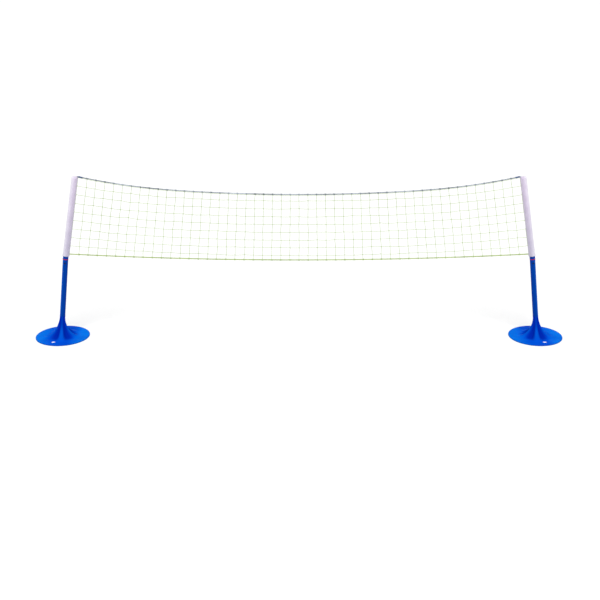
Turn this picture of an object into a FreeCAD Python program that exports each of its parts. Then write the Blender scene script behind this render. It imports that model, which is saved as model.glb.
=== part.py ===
import FreeCAD, Part
import math
import os
import Sketcher

# A small volleyball net for garden or beach play. The net hangs between two leaning poles,
# and each pole stands in a round moulded base. Millimetres, Z up, X along the net, front at -Y.
# The origin is on the ground at mid span. The poles are drawn as they stand with the net on:
# the pull of the net leans each base neck and each tube a little further inwards.

# alias, value, what it is; lengths in millimetres, angles in degrees
DIMENSIONS = (
    ("half_span", 1113.5, "mid span to the centre of a base"),
    ("base_radius", 125.0, "outer radius of the base disc"),
    ("base_plate", 3.5, "thickness of the base disc"),
    ("neck_height", 103.0, "ground to the mouth of the base neck"),
    ("ridge_count", 5, "ridges round the skirt, with a valley between each two"),
    ("ridge_turn", 4.0, "first ridge's angle from straight front, towards the net"),
    ("ridge_spread", 45.0, "how far the ridges swing out on their way down"),
    ("ridge_foot", 22.0, "how much further out a ridge runs where it meets the disc"),
    ("valley_spread", 22.0, "how far the valleys swing out on their way down"),
    ("valley_foot", 14.0, "how much further out a valley runs where it meets the disc"),
    ("shoulder_share", 0.8, "where a ridge's shoulder stands between valley and crest"),
    ("hip_share", 0.14, "where a ridge's foot line stands between valley and crest"),
    ("slot_width", 9.0, "width of the hollow inside a ridge"),
    ("base_wall", 2.6, "wall of the moulded skirt"),
    ("bore_depth", 32.0, "how far the spigot's bore runs down below the mouth"),
    ("lip_height", 2.5, "height of the lip at the neck's mouth"),
    ("lip_proud", 0.5, "how far the lip stands out past the tube"),
    ("peg_hole_radius", 10.0, "ground peg hole"),
    ("peg_hole_offset", 84.0, "base centre to peg hole"),
    ("peg_hole_turn", 19.0, "peg hole's angle from straight front, outwards"),
    ("tube_radius", 12.5, "outer radius of both pole tubes"),
    ("tube_wall", 1.5, "wall of both pole tubes"),
    ("lower_length", 280.0, "length of the lower tube"),
    ("upper_length", 381.0, "length of the upper tube"),
    ("lean_low", 7.3, "lean of the lower tube from the vertical"),
    ("lean_high", 10.5, "lean of the upper tube from the vertical"),
    ("spigot_gap", 0.1, "radial gap between a spigot and its tube"),
    ("spigot_wall", 2.0, "wall of the hollow spigots"),
    ("foot_spigot", 45.0, "length of the spigot on the base"),
    ("joint_spigot", 50.0, "length of each spigot of the joint plug"),
    ("collar_height", 3.0, "height of the joint plug's collar"),
    ("collar_proud", 0.7, "how far the collar stands out past the tubes"),
    ("collar_step", 0.25, "how much narrower the collar's upper half is"),
    ("button_drop", 17.0, "collar to the snap button, down the lower tube"),
    ("button_width", 9.0, "width of the snap button"),
    ("button_height", 5.0, "height of the snap button"),
    ("button_proud", 1.5, "how far the button stands out of the tube"),
    ("button_gap", 0.25, "gap round the button in its holes"),
    ("button_root", 5.6, "pole axis to the front of the button's flange"),
    ("flange_thick", 1.2, "thickness of the button's flange"),
    ("flange_border", 2.0, "how far the flange reaches past the button"),
    ("button_travel", 3.3, "how far the button presses in"),
    ("leaf_thick", 0.5, "thickness of the leaf spring"),
    ("leaf_width", 8.0, "width of the leaf spring"),
    ("leaf_length", 28.0, "height of the folded leaf spring"),
    ("cap_height", 3.0, "height of the end cap's head"),
    ("cap_plug", 12.0, "length of the end cap's plug"),
    ("sleeve_gap", 0.4, "gap between the cloth sleeve and the tube"),
    ("sleeve_wall", 2.0, "thickness of the doubled cloth of the sleeve"),
    ("sleeve_lift", 13.5, "bare tube between the collar and the sleeve"),
    ("sleeve_bevel", 1.3, "bevel of the sleeve's closed top"),
    ("top_cord_radius", 2.5, "radius of the top cord"),
    ("top_cord_sag", 76.3, "top of a pole down to the top cord at mid span"),
    ("top_sag_radius", 8000.0, "sweep of the top cord's middle"),
    ("top_sag_half", 550.0, "half the length of that middle"),
    ("top_end_radius", 3000.0, "sweep of the top cord's ends"),
    ("bottom_cord_radius", 2.0, "radius of the bottom cord"),
    ("bottom_cord_sag", 21.0, "lower end of a sleeve down to the bottom cord at mid span"),
    ("bottom_sag_radius", 19600.0, "sweep of the bottom cord"),
    ("net_columns", 30, "gaps along the net"),
    ("net_rows", 6, "gaps up the net"),
    ("twine_width", 2.2, "width of a twine seen from the front"),
    ("twine_thick", 1.6, "thickness of a twine"),
    ("first_row_squeeze", 0.72, "height of the top row at mid span, as a share of a full row"),
    ("last_row_squeeze", 0.52, "height of the bottom row at mid span, as a share of a full row"),
    ("soft_gap", 0.4, "gap between a soft piece and its neighbour"),
)

SIDES = (("left", -1), ("right", 1))

doc = FreeCAD.newDocument("volleyball_net")
sheet = doc.addObject("Spreadsheet::Sheet", "Sizes")
for row, (alias, value, note) in enumerate(DIMENSIONS, 1):
    sheet.set(f"A{row}", note)
    sheet.set(f"B{row}", str(value))
    sheet.setAlias(f"B{row}", alias)
doc.recompute()

# Points of the stand on the right, as expressions of the sheet's cells. The left one mirrors them.
BORE_RADIUS = "(Sizes.tube_radius - Sizes.tube_wall)"
SPIGOT_RADIUS = "(Sizes.tube_radius - Sizes.tube_wall - Sizes.spigot_gap)"
HOLLOW_RADIUS = "(Sizes.tube_radius - Sizes.tube_wall - Sizes.spigot_gap - Sizes.spigot_wall)"
COLLAR_RADIUS = "(Sizes.tube_radius + Sizes.collar_proud)"
FACE_RADIUS = "(Sizes.tube_radius + Sizes.button_proud)"
MOUTH_X = "(Sizes.half_span - Sizes.neck_height * tan(Sizes.lean_low * 0.5deg))"
MOUTH_Z = "Sizes.neck_height"
TO_JOINT = "(Sizes.lower_length + Sizes.collar_height / 2)"
JOINT_X = f"({MOUTH_X} - {TO_JOINT} * sin(Sizes.lean_low * 1deg))"
JOINT_Z = f"({MOUTH_Z} + {TO_JOINT} * cos(Sizes.lean_low * 1deg))"
MOUTH = (MOUTH_X, MOUTH_Z)
JOINT = (JOINT_X, JOINT_Z)
GROUND = ("Sizes.half_span", "0")

# lengths that differ by less than this count as the same
SAME = 1e-4


def size(alias):
    return float(getattr(sheet, alias))


def number(expression):
    return float(sheet.evalExpression(expression))


def bind(thing, **expressions):
    for name, expression in expressions.items():
        thing.setExpression(name, expression)
    return thing


def stand_up(thing, side, point, lean, along="0"):
    """Puts a piece on a stand: at a point of the stand, turned by its lean, then moved up its own axis."""
    x, z = point
    thing.Placement = FreeCAD.Placement(FreeCAD.Vector(), FreeCAD.Rotation(FreeCAD.Vector(0, -side, 0), 1))
    thing.setExpression("Placement.Rotation.Angle", lean)
    thing.setExpression("Placement.Base.x", f"{side} * ({x} - ({along}) * sin({lean} * 1deg))")
    thing.setExpression("Placement.Base.z", f"{z} + ({along}) * cos({lean} * 1deg)")
    return thing


def new_body(name):
    return doc.addObject("PartDesign::Body", name)


def plane_of(body, role):
    for feature in body.Origin.OriginFeatures:
        if feature.Role == role:
            return feature
    raise ValueError(role)


def new_sketch(body, role, name, offset=None):
    """A sketch on one of the body's own origin planes, moved along the plane's normal by an expression."""
    sketch = body.newObject("Sketcher::SketchObject", name)
    sketch.AttachmentSupport = [(plane_of(body, role), "")]
    sketch.MapMode = "FlatFace"
    if offset:
        sketch.setExpression("AttachmentOffset.Base.z", offset)
    return sketch


def add_circle(sketch, name, radius, x="0", z="0"):
    circle = Part.Circle(FreeCAD.Vector(number(x), number(z), 0), FreeCAD.Vector(0, 0, 1), number(radius))
    index = sketch.addGeometry(circle, False)
    if (x, z) == ("0", "0"):
        sketch.addConstraint(Sketcher.Constraint("Coincident", index, 3, -1, 1))
    else:
        pin_point(sketch, f"{name}_centre", index, 3, x, z)
    rule = sketch.addConstraint(Sketcher.Constraint("Radius", index, number(radius)))
    sketch.renameConstraint(rule, name)
    sketch.setExpression(f"Constraints.{name}", radius)
    return index


def pin_point(sketch, name, index, position, x, z):
    """Pins a point to the sketch origin; an x of None leaves that direction to the other rules."""
    for letter, kind, expression in (("x", "DistanceX", x), ("z", "DistanceY", z)):
        if expression is None:
            continue
        if expression == "0":
            axis = -2 if letter == "x" else -1
            sketch.addConstraint(Sketcher.Constraint("PointOnObject", index, position, axis))
            continue
        rule = sketch.addConstraint(
            Sketcher.Constraint(kind, -1, 1, index, position, number(expression)))
        sketch.renameConstraint(rule, f"{name}_{letter}")
        sketch.setExpression(f"Constraints.{name}_{letter}", expression)


def add_outline(sketch, corners):
    """A closed outline of straight runs. Each corner is a pair of expressions, pinned to the sketch origin."""
    spots = [FreeCAD.Vector(number(x), number(z), 0) for x, z in corners]
    count = len(spots)
    lines = [sketch.addGeometry(Part.LineSegment(spots[i], spots[(i + 1) % count]), False)
             for i in range(count)]
    for i in range(count):
        sketch.addConstraint(Sketcher.Constraint("Coincident", lines[i - 1], 2, lines[i], 1))
        pin_point(sketch, f"corner_{i}", lines[i], 1, *corners[i])
    return lines


def add_slot(sketch, width, height, middle):
    """A slot with round ends, lying along the sketch's X axis with its middle on the vertical axis."""
    reach = f"(({width}) - ({height})) / 2"
    span, radius, centre = number(reach), number(height) / 2, number(middle)
    bottom, top = centre - radius, centre + radius
    upper = sketch.addGeometry(
        Part.LineSegment(FreeCAD.Vector(-span, top, 0), FreeCAD.Vector(span, top, 0)), False)
    lower = sketch.addGeometry(
        Part.LineSegment(FreeCAD.Vector(span, bottom, 0), FreeCAD.Vector(-span, bottom, 0)), False)
    up = FreeCAD.Vector(0, 0, 1)
    east = sketch.addGeometry(Part.ArcOfCircle(
        Part.Circle(FreeCAD.Vector(span, centre, 0), up, radius), -math.pi / 2, math.pi / 2), False)
    west = sketch.addGeometry(Part.ArcOfCircle(
        Part.Circle(FreeCAD.Vector(-span, centre, 0), up, radius), math.pi / 2, 3 * math.pi / 2), False)
    for first, end, second, start in ((upper, 2, east, 2), (east, 1, lower, 1),
                                      (lower, 2, west, 2), (west, 1, upper, 1)):
        sketch.addConstraint(Sketcher.Constraint("Tangent", first, end, second, start))
    pin_point(sketch, "east", east, 3, reach, middle)
    pin_point(sketch, "west", west, 3, f"-({reach})", middle)
    sketch.addConstraint(Sketcher.Constraint("Equal", east, west))
    rule = sketch.addConstraint(Sketcher.Constraint("Radius", east, radius))
    sketch.renameConstraint(rule, "end_radius")
    sketch.setExpression("Constraints.end_radius", f"({height}) / 2")


def pad(body, sketch, name, length, midplane=False):
    feature = body.newObject("PartDesign::Pad", name)
    feature.Profile = sketch
    feature.setExpression("Length", length)
    feature.Midplane = midplane
    return feature


def revolve(body, sketch, name, kind="PartDesign::Revolution"):
    feature = body.newObject(kind, name)
    feature.Profile = sketch
    feature.ReferenceAxis = (sketch, ["V_Axis"])
    feature.Angle = 360
    return feature


def bevel_round_edge(body, name, reach, height, radius):
    """Chamfers the round edge of the body's tip at a height, with a radius, both given as expressions."""
    doc.recompute()
    tip = body.Tip
    names = []
    for i, edge in enumerate(tip.Shape.Edges, 1):
        curve = edge.Curve
        if isinstance(curve, Part.Circle) and abs(curve.Center.z - number(height)) < SAME \
                and abs(curve.Radius - number(radius)) < SAME:
            names.append(f"Edge{i}")
    feature = body.newObject("PartDesign::Chamfer", name)
    feature.Base = (tip, names)
    feature.setExpression("Size", reach)
    return feature


def joined(name, kind, pieces):
    """A boolean of several pieces, or of a base and its tools."""
    if kind == "Part::MultiFuse":
        feature = doc.addObject(kind, name)
        feature.Shapes = pieces
    else:
        feature = doc.addObject(kind, name)
        feature.Base, feature.Tool = pieces
    return feature


# The base: a thin round disc and a hollow neck, moulded in one with the spigot that the lower tube
# slides over. The neck spreads into rounded ridges, as roots do, with a valley between each two.
# Its sections lean more and more with height, from level at the ground to the tube's own lean.
FLARE_TOP = "(Sizes.neck_height - Sizes.lip_height)"
GROUND_DEPTH = 2.0
# shares of the way down from the flare's top to the disc; past 1 is inside the disc
SKIRT_SHARES = (0, 0.4, 0.75, 0.95, 1.036)
HOLLOW_SHARES = (1, 0.85, 0.6, 0.25)
# corners from one crest to the next: how far each stands out between valley and crest
RING = ("1", "Sizes.shoulder_share", "Sizes.hip_share", "0", "Sizes.hip_share", "Sizes.shoulder_share")


def skirt_reach(line, share, inset="0"):
    """How far out the ridges or the valleys are at a share of the way down, less an inset."""
    spread = f"Sizes.{line}_spread * {share ** 2:.6f} + Sizes.{line}_foot * {share ** 8:.6f}"
    return f"(Sizes.tube_radius + {spread} - {inset})"


def skirt_height(share, inset="0"):
    return f"({FLARE_TOP} - {share} * ({FLARE_TOP} - Sizes.base_plate) - {inset})"


def ring_corners(side, reaches):
    """Corners in even steps from the first ridge's crest, as far out as the reaches say in turn."""
    count = round(size("ridge_count")) * len(reaches)
    corners = []
    for i in range(count):
        turn = f"(270deg - {side} * Sizes.ridge_turn * 1deg + {i} * 360deg / {count})"
        reach = reaches[i % len(reaches)]
        corners.append((f"{reach} * cos{turn}", f"{reach} * sin{turn}"))
    return corners


def make_skirt(side_name, side):
    """A loft through ridged sections on the neck's bent axis."""
    sections = []
    for i, share in enumerate(SKIRT_SHARES):
        sketch = doc.addObject("Sketcher::SketchObject", f"skirt_section_{side_name}_{i}")
        crest, trough = skirt_reach("ridge", share), skirt_reach("valley", share)
        add_outline(sketch, ring_corners(side, [f"({trough} + ({crest} - {trough}) * {out})" for out in RING]))
        height = skirt_height(share)
        up = f"({height} / Sizes.neck_height)"
        middle = f"(Sizes.half_span - {up}^2 * Sizes.neck_height * tan(Sizes.lean_low * 0.5deg))"
        stand_up(sketch, side, (middle, height), f"Sizes.lean_low * {up}")
        sections.append(sketch)
    loft = doc.addObject("Part::Loft", f"skirt_{side_name}")
    loft.Sections = sections
    loft.Solid = True
    return loft


def swing(sketch, side, degrees):
    """Turns an upright sketch clockwise about its body's vertical axis, and on by the ridges' own turn."""
    way = -1 if degrees <= 180 else 1
    sketch.AttachmentOffset = FreeCAD.Placement(
        FreeCAD.Vector(), FreeCAD.Rotation(FreeCAD.Vector(0, way, 0), 1))
    turn = f"({degrees}deg + {side} * Sizes.ridge_turn * 1deg)"
    sketch.setExpression("AttachmentOffset.Rotation.Angle", turn if way < 0 else f"360deg - {turn}")


def add_hollow_outline(sketch, line, inset, start="0"):
    """A section through the hollow, from a start at or behind the axis out to just inside the skirt."""
    heights = [skirt_height(share, "Sizes.base_wall") for share in HOLLOW_SHARES]
    reaches = [skirt_reach(line, share, inset) for share in HOLLOW_SHARES]
    add_outline(sketch, [(start, f"-{GROUND_DEPTH}"), (reaches[0], f"-{GROUND_DEPTH}")]
                + list(zip(reaches, heights)) + [(start, heights[-1])])


def make_hollow(side_name, side):
    """The space under the moulding: flat sides behind the valleys, with a slot up inside each ridge."""
    count = round(size("ridge_count"))
    lean = f"(Sizes.lean_low * {skirt_height(HOLLOW_SHARES[-1], 'Sizes.base_wall')} / Sizes.neck_height / 2)"
    slabs = []
    for i in range(count):
        label = f"hollow_side_{side_name}_{i}"
        body = new_body(label)
        outline = new_sketch(body, "XZ_Plane", f"{label}_outline")
        swing(outline, side, (90 + (i + 0.5) * 360 / count) % 360)
        add_hollow_outline(outline, "valley", "Sizes.base_wall", "-Sizes.base_radius")
        pad(body, outline, f"{label}_slab", "Sizes.base_radius * 2", True)
        slabs.append(stand_up(body, side, GROUND, lean))
    common = doc.addObject("Part::MultiCommon", f"hollow_middle_{side_name}")
    common.Shapes = slabs
    label = f"hollow_slots_{side_name}"
    body = new_body(label)
    outline = new_sketch(body, "XZ_Plane", f"{label}_outline")
    swing(outline, side, 90)
    add_hollow_outline(outline, "ridge", "Sizes.base_wall * 1.5")
    slot = pad(body, outline, f"{label}_first", "Sizes.slot_width", True)
    doc.recompute()
    slots = body.newObject("PartDesign::PolarPattern", f"{label}_all")
    slots.Originals = [slot]
    slots.Axis = (outline, ["V_Axis"])
    slots.Angle = 360
    slots.setExpression("Occurrences", "Sizes.ridge_count")
    body.Tip = slots
    return common, stand_up(body, side, GROUND, lean)


def make_disc(side_name, side):
    """The plate, drawn a little below the ground so that one cut levels the whole base."""
    body = new_body(f"disc_{side_name}")
    outline = new_sketch(body, "XY_Plane", f"disc_outline_{side_name}", f"-{GROUND_DEPTH}")
    add_circle(outline, "rim", "Sizes.base_radius")
    pad(body, outline, f"disc_plate_{side_name}", f"Sizes.base_plate + {GROUND_DEPTH}")
    stand_up(body, side, GROUND, "0")
    return body


def make_neck(side_name, side):
    """The lip at the neck's mouth and the spigot above it, on the lower tube's axis, before it is bored."""
    body = new_body(f"neck_{side_name}")
    outline = new_sketch(body, "XZ_Plane", f"neck_outline_{side_name}")
    lip = "(Sizes.tube_radius + Sizes.lip_proud)"
    add_outline(outline, [("0", "-Sizes.lip_height"), (lip, "-Sizes.lip_height"), (lip, "0"),
                          (SPIGOT_RADIUS, "0"), (SPIGOT_RADIUS, "Sizes.foot_spigot"),
                          ("0", "Sizes.foot_spigot")])
    revolve(body, outline, f"neck_turned_{side_name}")
    stand_up(body, side, MOUTH, "Sizes.lean_low")
    return body


def make_base(side_name, side):
    moulding = joined(f"moulding_{side_name}", "Part::MultiFuse",
                      [make_skirt(side_name, side), make_disc(side_name, side), make_neck(side_name, side)])
    bore = doc.addObject("Part::Cylinder", f"neck_bore_{side_name}")
    bind(bore, Radius=HOLLOW_RADIUS, Height="Sizes.bore_depth + Sizes.foot_spigot * 2")
    stand_up(bore, side, MOUTH, "Sizes.lean_low", "-Sizes.bore_depth")
    hole = doc.addObject("Part::Cylinder", f"peg_cut_{side_name}")
    bind(hole, Radius="Sizes.peg_hole_radius", Height="Sizes.neck_height")
    reach = "Sizes.peg_hole_offset"
    turn = "(Sizes.peg_hole_turn * 1deg)"
    hole.setExpression("Placement.Base.x", f"{side} * (Sizes.half_span + {reach} * sin{turn})")
    hole.setExpression("Placement.Base.y", f"-{reach} * cos{turn}")
    hole.setExpression("Placement.Base.z", "-Sizes.base_plate")
    ground = doc.addObject("Part::Box", f"below_ground_{side_name}")
    bind(ground, Length="Sizes.base_radius * 3", Width="Sizes.base_radius * 3", Height="Sizes.base_radius")
    ground.setExpression("Placement.Base.x", f"{side} * Sizes.half_span - Sizes.base_radius * 1.5")
    ground.setExpression("Placement.Base.y", "-Sizes.base_radius * 1.5")
    ground.setExpression("Placement.Base.z", "-Sizes.base_radius")
    base = moulding
    for tool in (*make_hollow(side_name, side), bore, hole, ground):
        base = joined(f"{tool.Label}_taken_out", "Part::Cut", (base, tool))
    base.Label = f"base_{side_name}"
    return base


def add_button_hole(body, name, depth):
    """The slot that the snap button comes out of, cut from the pole's axis to the front."""
    slot = new_sketch(body, "XZ_Plane", f"{name}_outline")
    middle = depth
    add_slot(slot, "Sizes.button_width + 2 * Sizes.button_gap", "Sizes.button_height + 2 * Sizes.button_gap", middle)
    doc.recompute()
    before = body.Tip.Shape.Volume
    cut = body.newObject("PartDesign::Pocket", name)
    cut.Profile = slot
    cut.setExpression("Length", "Sizes.tube_radius * 2")
    cut.Reversed = True
    doc.recompute()
    if not (cut.Shape.Volume < before - 1 and cut.Shape.CenterOfGravity.y > 0):
        raise ValueError(f"{name} isn't cut through the front")


def make_tube(label, length):
    body = new_body(label)
    ring = new_sketch(body, "XY_Plane", f"{label}_ring")
    add_circle(ring, "outside", "Sizes.tube_radius")
    add_circle(ring, "bore", BORE_RADIUS)
    pad(body, ring, f"{label}_wall", length)
    return body


def make_lower_tube(side_name, side):
    body = make_tube(f"lower_tube_{side_name}", "Sizes.lower_length")
    add_button_hole(body, f"tube_slot_{side_name}", "Sizes.lower_length - Sizes.button_drop")
    return stand_up(body, side, MOUTH, "Sizes.lean_low")


def make_upper_tube(side_name, side):
    body = make_tube(f"upper_tube_{side_name}", "Sizes.upper_length")
    return stand_up(body, side, JOINT, "Sizes.lean_high", "Sizes.collar_height / 2")


def make_plug_half(name, direction):
    """One spigot of the joint plug, with its half of the collar and of the web across it.

    direction is -1 down or 1 up. Each half reaches past the bend, so that no wedge is left open there.
    """
    body = new_body(name)
    outline = new_sketch(body, "XZ_Plane", f"{name}_outline")
    collar = COLLAR_RADIUS if direction < 0 else f"({COLLAR_RADIUS} - Sizes.collar_step)"
    face = f"({direction} * Sizes.collar_height / 2)"
    web = f"({direction} * Sizes.collar_height * 0.4)"
    end = f"({direction} * (Sizes.collar_height / 2 + Sizes.joint_spigot))"
    root = f"({-direction} * Sizes.collar_height / 6)"
    add_outline(outline, [("0", root), (collar, root), (collar, face), (SPIGOT_RADIUS, face),
                          (SPIGOT_RADIUS, end), (HOLLOW_RADIUS, end), (HOLLOW_RADIUS, web), ("0", web)])
    revolve(body, outline, f"{name}_turned")
    return body


def make_joint_plug(side_name, side):
    low = make_plug_half(f"plug_low_{side_name}", -1)
    add_button_hole(low, f"plug_slot_{side_name}", "-(Sizes.collar_height / 2 + Sizes.button_drop)")
    stand_up(low, side, JOINT, "Sizes.lean_low")
    high = stand_up(make_plug_half(f"plug_high_{side_name}", 1), side, JOINT, "Sizes.lean_high")
    return joined(f"joint_plug_{side_name}", "Part::MultiFuse", [low, high])


def make_snap_button(side_name, side):
    """A round-ended button with a curved face, and the flange that keeps it inside the plug."""
    label = f"snap_button_{side_name}"
    body = new_body(label)
    stem = new_sketch(body, "XZ_Plane", f"{label}_stem_outline", "Sizes.button_root")
    add_slot(stem, "Sizes.button_width", "Sizes.button_height", "Sizes.button_height")
    pad(body, stem, f"{label}_stem", f"{FACE_RADIUS} + 1 - Sizes.button_root")
    flange = new_sketch(body, "XZ_Plane", f"{label}_flange_outline", "Sizes.button_root - Sizes.flange_thick")
    add_slot(flange, "Sizes.button_width + 2 * Sizes.flange_border",
             "Sizes.button_height + 2 * Sizes.flange_border", "Sizes.button_height")
    pad(body, flange, f"{label}_flange", "Sizes.flange_thick")
    face = new_sketch(body, "XY_Plane", f"{label}_face_outline")
    add_circle(face, "face", FACE_RADIUS)
    add_circle(face, "clearing", f"{FACE_RADIUS} + 5")
    doc.recompute()
    before = body.Tip.Shape.Volume
    trim = body.newObject("PartDesign::Pocket", f"{label}_face")
    trim.Profile = face
    trim.Type = 1
    trim.Midplane = True
    trim.setExpression("Length", "Sizes.button_height * 4")
    doc.recompute()
    if not trim.Shape.Volume < before:
        raise ValueError(f"{label} face isn't trimmed")
    drop = "-(Sizes.collar_height / 2 + Sizes.button_drop + Sizes.button_height)"
    return stand_up(body, side, JOINT, "Sizes.lean_low", drop)


def make_leaf_spring(side_name, side):
    """A folded strip of spring steel: its front arm pushes the button out, its back arm rests in the plug."""
    label = f"leaf_spring_{side_name}"
    body = new_body(label)
    outline = new_sketch(body, "YZ_Plane", f"{label}_outline")
    front = "(Sizes.button_root - Sizes.flange_thick - Sizes.button_gap)"
    back = f"(sqrt({HOLLOW_RADIUS} ^ 2 - (Sizes.leaf_width / 2) ^ 2) - Sizes.button_gap)"
    fold = f"(({back} - {front}) / 2)"
    reach = "Sizes.leaf_length"
    strip = "Sizes.leaf_thick"
    add_outline(outline, [(f"-{front}", reach), (f"{fold} - {strip} * 3", "0"), (f"{fold} + {strip} * 3", "0"),
                          (back, reach), (f"{back} - {strip}", reach), (f"{fold} + {strip} * 2", strip),
                          (f"{fold} - {strip} * 2", strip), (f"{strip} - {front}", reach)])
    pad(body, outline, f"{label}_strip", "Sizes.leaf_width", True)
    drop = "-(Sizes.collar_height / 2 + Sizes.button_drop + Sizes.leaf_length - Sizes.button_height)"
    return stand_up(body, side, JOINT, "Sizes.lean_low", drop)


def make_end_cap(side_name, side):
    label = f"end_cap_{side_name}"
    body = new_body(label)
    outline = new_sketch(body, "XZ_Plane", f"{label}_outline")
    add_outline(outline, [("0", "-Sizes.cap_plug"), (SPIGOT_RADIUS, "-Sizes.cap_plug"), (SPIGOT_RADIUS, "0"),
                          ("Sizes.tube_radius", "0"), ("Sizes.tube_radius", "Sizes.cap_height"),
                          ("0", "Sizes.cap_height")])
    revolve(body, outline, f"{label}_turned")
    return stand_up(body, side, JOINT, "Sizes.lean_high", "Sizes.collar_height / 2 + Sizes.upper_length")


def make_sleeve(side_name, side):
    """The cloth sleeve at the net's end, open below and sewn shut over the end cap."""
    label = f"net_sleeve_{side_name}"
    body = new_body(label)
    outline = new_sketch(body, "XZ_Plane", f"{label}_outline")
    inner = "(Sizes.tube_radius + Sizes.sleeve_gap)"
    outer = f"({inner} + Sizes.sleeve_wall)"
    roof = "(Sizes.upper_length + Sizes.cap_height + Sizes.sleeve_gap - Sizes.sleeve_lift)"
    crown = f"({roof} + Sizes.sleeve_wall)"
    add_outline(outline, [(inner, "0"), (outer, "0"), (outer, crown), ("0", crown), ("0", roof), (inner, roof)])
    revolve(body, outline, f"{label}_turned")
    bevel_round_edge(body, f"{label}_crown", "Sizes.sleeve_bevel", crown, outer)
    return stand_up(body, side, JOINT, "Sizes.lean_high", "Sizes.collar_height / 2 + Sizes.sleeve_lift")


# The net and its two cords. Heights are functions of the distance from mid span. Both cords hang
# from the poles, so that longer poles lift them.
def pole_height(along):
    """Height of a spot on the upper pole's axis, at a distance above the collar's middle."""
    return number(f"{JOINT_Z} + ({along}) * cos(Sizes.lean_high * 1deg)")


def top_cord_low():
    return pole_height("Sizes.collar_height / 2 + Sizes.upper_length + Sizes.cap_height") - size("top_cord_sag")


def bottom_cord_low():
    return pole_height("Sizes.collar_height / 2 + Sizes.sleeve_lift") - size("bottom_cord_sag")


def top_cord_height(x):
    middle, end = size("top_sag_radius"), size("top_end_radius")
    half = size("top_sag_half")
    along = min(abs(x), half)
    height = top_cord_low() + middle - math.sqrt(middle ** 2 - along ** 2)
    if abs(x) > half:
        tilt = math.asin(half / middle)
        centre_x = half - end * math.sin(tilt)
        height += end * math.cos(tilt) - math.sqrt(end ** 2 - (abs(x) - centre_x) ** 2)
    return height


def bottom_cord_height(x):
    sweep = size("bottom_sag_radius")
    return bottom_cord_low() + sweep - math.sqrt(sweep ** 2 - x ** 2)


def sleeve_face(height, clear):
    """Distance from mid span to the sleeve's inner side at a height, less a clearance."""
    lean = math.radians(size("lean_high"))
    reach = size("tube_radius") + size("sleeve_gap") + size("sleeve_wall") + clear
    return number(JOINT_X) - (height - number(JOINT_Z)) * math.tan(lean) - reach / math.cos(lean)


def meet_sleeve(height_of, clear):
    """Where a cord meets the sleeve: found by stepping, because both lines slope gently."""
    x = size("half_span")
    for _ in range(12):
        x = sleeve_face(height_of(x), clear)
    return x


def make_cord(label, height_of, radius, joints):
    """One eight-sided cord swept along arcs through the heights at the joints, from sleeve to sleeve."""
    end = meet_sleeve(height_of, size("soft_gap") + radius * math.tan(math.radians(size("lean_high"))))
    marks = sorted([-end, end] + joints + [-joint for joint in joints])
    spots = [FreeCAD.Vector(x, 0, height_of(x)) for x in marks]
    edges = []
    for first, last in zip(spots[:-1], spots[1:]):
        middle_x = (first.x + last.x) / 2
        middle = FreeCAD.Vector(middle_x, 0, height_of(middle_x))
        edges.append(Part.Arc(first, middle, last).toShape())
    spine = Part.Wire(edges)
    start = edges[0]
    tangent = start.tangentAt(start.FirstParameter)
    front = FreeCAD.Vector(0, -1, 0)
    up = front.cross(tangent).normalize()
    eighth = math.pi / 4
    corner_out = radius / math.cos(eighth / 2)
    corners = [spots[0] + front * (corner_out * math.cos((i + 0.5) * eighth))
               + up * (corner_out * math.sin((i + 0.5) * eighth)) for i in range(8)]
    section = Part.makePolygon(corners + corners[:1])
    cord = doc.addObject("Part::Feature", label)
    cord.Shape = spine.makePipeShell([section], True, False)
    expected = 8 * math.tan(eighth / 2) * radius ** 2 * spine.Length
    print(label, "length", round(spine.Length, 1), "volume against section times length",
          round(cord.Shape.Volume / expected, 5))
    return cord


def row_shares(x):
    """Heights of the net's rows from top to bottom as running shares, squeezed at mid span."""
    rows = int(size("net_rows"))
    sag = 1 - min(abs(x) / size("half_span"), 1) ** 2
    heights = [1.0] * rows
    heights[0] = 1 - (1 - size("first_row_squeeze")) * sag
    heights[-1] = 1 - (1 - size("last_row_squeeze")) * sag
    total = sum(heights)
    shares = [0.0]
    for height in heights:
        shares.append(shares[-1] + height / total)
    return shares


def net_knots():
    """The crossings of the net: one list of points from top to bottom for every upright twine."""
    top_drop = size("top_cord_radius") + size("soft_gap") + size("twine_width") / 2
    bottom_lift = size("bottom_cord_radius") + size("soft_gap") + size("twine_width") / 2
    clear = size("soft_gap") + size("twine_width") / 2
    top_end = meet_sleeve(lambda x: top_cord_height(x) - top_drop, clear)
    bottom_end = meet_sleeve(lambda x: bottom_cord_height(x) + bottom_lift, clear)
    columns = int(size("net_columns"))
    uprights = []
    for column in range(columns + 1):
        share = 2 * column / columns - 1
        high = FreeCAD.Vector(share * top_end, 0, top_cord_height(share * top_end) - top_drop)
        low = FreeCAD.Vector(share * bottom_end, 0, bottom_cord_height(share * bottom_end) + bottom_lift)
        shares = row_shares(share * bottom_end)
        uprights.append([high + (low - high) * fraction for fraction in shares])
    return uprights


def grown(quad, amount):
    """A four-sided loop moved outwards by an amount on every side, or inwards if it is negative."""
    loop = []
    for i in range(4):
        before, here, after = quad[i - 1], quad[i], quad[(i + 1) % 4]
        first = (here - before).normalize()
        second = (after - here).normalize()
        out_first = FreeCAD.Vector(-first.z, 0, first.x)
        out_second = FreeCAD.Vector(-second.z, 0, second.x)
        slant = (out_first + out_second).normalize()
        loop.append(here + slant * (amount / slant.dot(out_first)))
    return loop


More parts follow.
